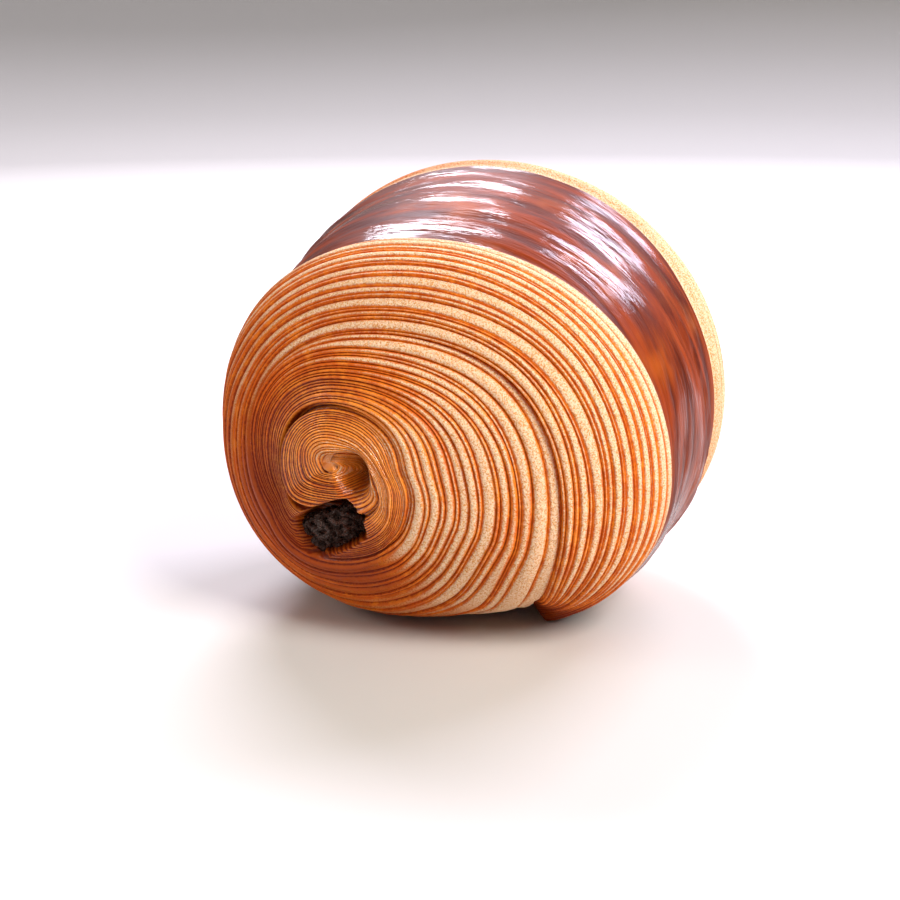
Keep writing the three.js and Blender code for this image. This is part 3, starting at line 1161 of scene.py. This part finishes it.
def make_floor(settings):
    """A wide round floor whose rim curves up into a low wall."""
    bpy.ops.object.select_all(action="DESELECT")
    bpy.ops.mesh.primitive_circle_add(vertices=96, radius=FLOOR_RADIUS, fill_type="NGON", location=(0, 0, 0))
    floor = bpy.context.object
    floor.name = "floor"
    bpy.ops.object.mode_set(mode="EDIT")
    bpy.ops.mesh.select_all(action="SELECT")
    bpy.ops.mesh.region_to_loop()
    for step in range(1, WALL_STEPS + 1):
        angle = math.radians(90 * step / WALL_STEPS)
        rise = WALL_CURVE * math.sin(angle)
        grow = 1 + WALL_CURVE * math.cos(angle)
        bpy.ops.mesh.extrude_edges_move(TRANSFORM_OT_translate={"value": (0, 0, rise)})
        bpy.ops.transform.resize(value=(grow, grow, 1))
    bpy.ops.object.mode_set(mode="OBJECT")
    bpy.ops.object.shade_smooth()
    floor.data.materials.append(floor_material(settings))


def aim(item, place, target):
    """Puts a light or a camera at a place, looking at the target."""
    direction = Vector(target) - Vector(place)
    turn = direction.to_track_quat("-Z", "Y").to_matrix().to_4x4()
    item.matrix_world = Matrix.Translation(place) @ turn


def area_light(name, place, size, power, colour):
    """A soft rectangular light aimed at the roll's middle, with its size in metres and power in watts."""
    data = bpy.data.lights.new(name, "AREA")
    data.shape = "RECTANGLE"
    data.size = size[0]
    data.size_y = size[1]
    data.energy = power
    data.color = colour
    aim(link_object(name, data), place, (0, 0, HEIGHT / 2))


def make_lights():
    area_light("key_light", (0.45, -0.15, 0.42), (0.26, 0.26), 4.7, (1.0, 0.96, 0.91))
    area_light("back_light", (0.15, 0.55, 0.5), (0.4, 0.2), 5.4, (0.82, 0.80, 1.0))
    area_light("top_light", (-0.34, 0.42, 0.5), (0.34, 0.2), 5.4, (0.92, 0.88, 1.0))
    area_light("fill_light", (-0.55, -0.34, 0.36), (0.22, 0.22), 1.0, (1.0, 0.95, 0.9))
    world = bpy.data.worlds.new("studio_air")
    world.use_nodes = True
    background = world.node_tree.nodes["Background"]
    background.inputs["Color"].default_value = (1.0, 0.94, 0.88, 1.0)
    background.inputs["Strength"].default_value = 0.24
    bpy.context.scene.world = world


def make_camera(settings):
    azimuth = settings.camera_azimuth
    elevation = settings.camera_elevation
    level = math.cos(elevation)
    back = Vector((math.sin(azimuth) * level, -math.cos(azimuth) * level, math.sin(elevation)))
    data = bpy.data.cameras.new("camera")
    data.sensor_width = 36
    data.lens = CAMERA_LENS
    data.shift_x, data.shift_y = CAMERA_SHIFT
    data.clip_start = 0.01
    camera = link_object("camera", data)
    aim(camera, CAMERA_TARGET + back * settings.camera_distance, CAMERA_TARGET)
    camera.matrix_world = camera.matrix_world @ Matrix.Rotation(settings.camera_roll, 4, "Z")
    bpy.context.scene.camera = camera


class BAKERY_PT_panel(bpy.types.Panel):
    """Lists the pieces and the studio"""

    bl_label = "Pain au chocolat"
    bl_idname = "BAKERY_PT_panel"
    bl_space_type = "VIEW_3D"
    bl_region_type = "UI"
    bl_category = "Pain au chocolat"

    def draw(self, context):
        column = self.layout.column()
        for operator in OPERATORS:
            column.operator(operator.bl_idname)


OPERATORS = (BAKERY_OT_studio, BAKERY_OT_dough, BAKERY_OT_chocolate)
GROUPS = {
    "bakery_dough": DoughSettings,
    "bakery_chocolate": ChocolateSettings,
    "bakery_studio": StudioSettings,
}
CLASSES = (*GROUPS.values(), *OPERATORS, BAKERY_PT_panel)


def register():
    for item in CLASSES:
        bpy.utils.register_class(item)
    for name, group in GROUPS.items():
        setattr(bpy.types.Scene, name, bpy.props.PointerProperty(type=group))


def unregister():
    for name in GROUPS:
        delattr(bpy.types.Scene, name)
    for item in reversed(CLASSES):
        bpy.utils.unregister_class(item)


# ---- The whole script -----------------------------------------------------------------------------


def main():
    register()
    bpy.ops.bakery.studio()
    bpy.ops.bakery.dough()
    bpy.ops.bakery.chocolate()
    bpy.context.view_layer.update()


if __name__ == "__main__":
    main()
